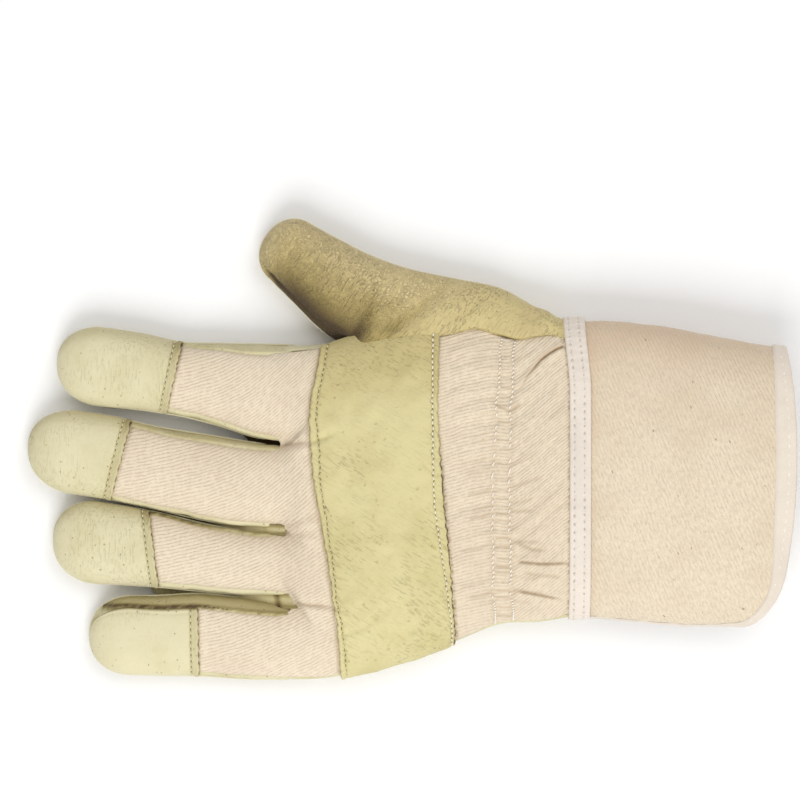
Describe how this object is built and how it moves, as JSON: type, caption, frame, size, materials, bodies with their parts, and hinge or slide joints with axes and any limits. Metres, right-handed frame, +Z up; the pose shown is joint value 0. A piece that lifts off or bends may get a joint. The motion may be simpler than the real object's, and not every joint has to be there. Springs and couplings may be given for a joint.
{
  "type": "work glove",
  "caption": "Left-hand rigger work glove in leather and twill, with a gathered wrist and an open stiff cuff.",
  "frame": {"origin": "middle of the glove's bounding box in plan, on the surface that the palm rests on", "axes": "+Z up out of the back of the hand, -X along the fingers, +X out of the cuff, +Y to the thumb"},
  "size_m": [0.2652, 0.1594, 0.0353],
  "materials": {
    "palm_leather": "soft matte split leather, pale green-cream",
    "thumb_leather": "soft matte split leather, tan, finely pored",
    "strap_leather": "smooth dull leather, pale olive",
    "twill": "matte undyed twill with a pink cast",
    "cuff_canvas": "matte starched twill with brown flecks",
    "cotton_tape": "matte off-white cotton tape"
  },
  "bodies": {
    "root": {"palm_leather": "palm_leather", "thumb_leather": "thumb_leather", "index_front": "palm_leather", "index_tip_cap": "palm_leather", "middle_front": "palm_leather", "middle_tip_cap": "palm_leather", "ring_front": "palm_leather", "ring_tip_cap": "palm_leather", "little_front": "palm_leather", "little_tip_cap": "palm_leather", "back_canvas": "twill", "knuckle_strap": "strap_leather", "wrist_gather": "twill", "joining_tape": "cotton_tape", "cuff": "cuff_canvas", "cuff_binding": "cotton_tape"}
  },
  "joints": []
}
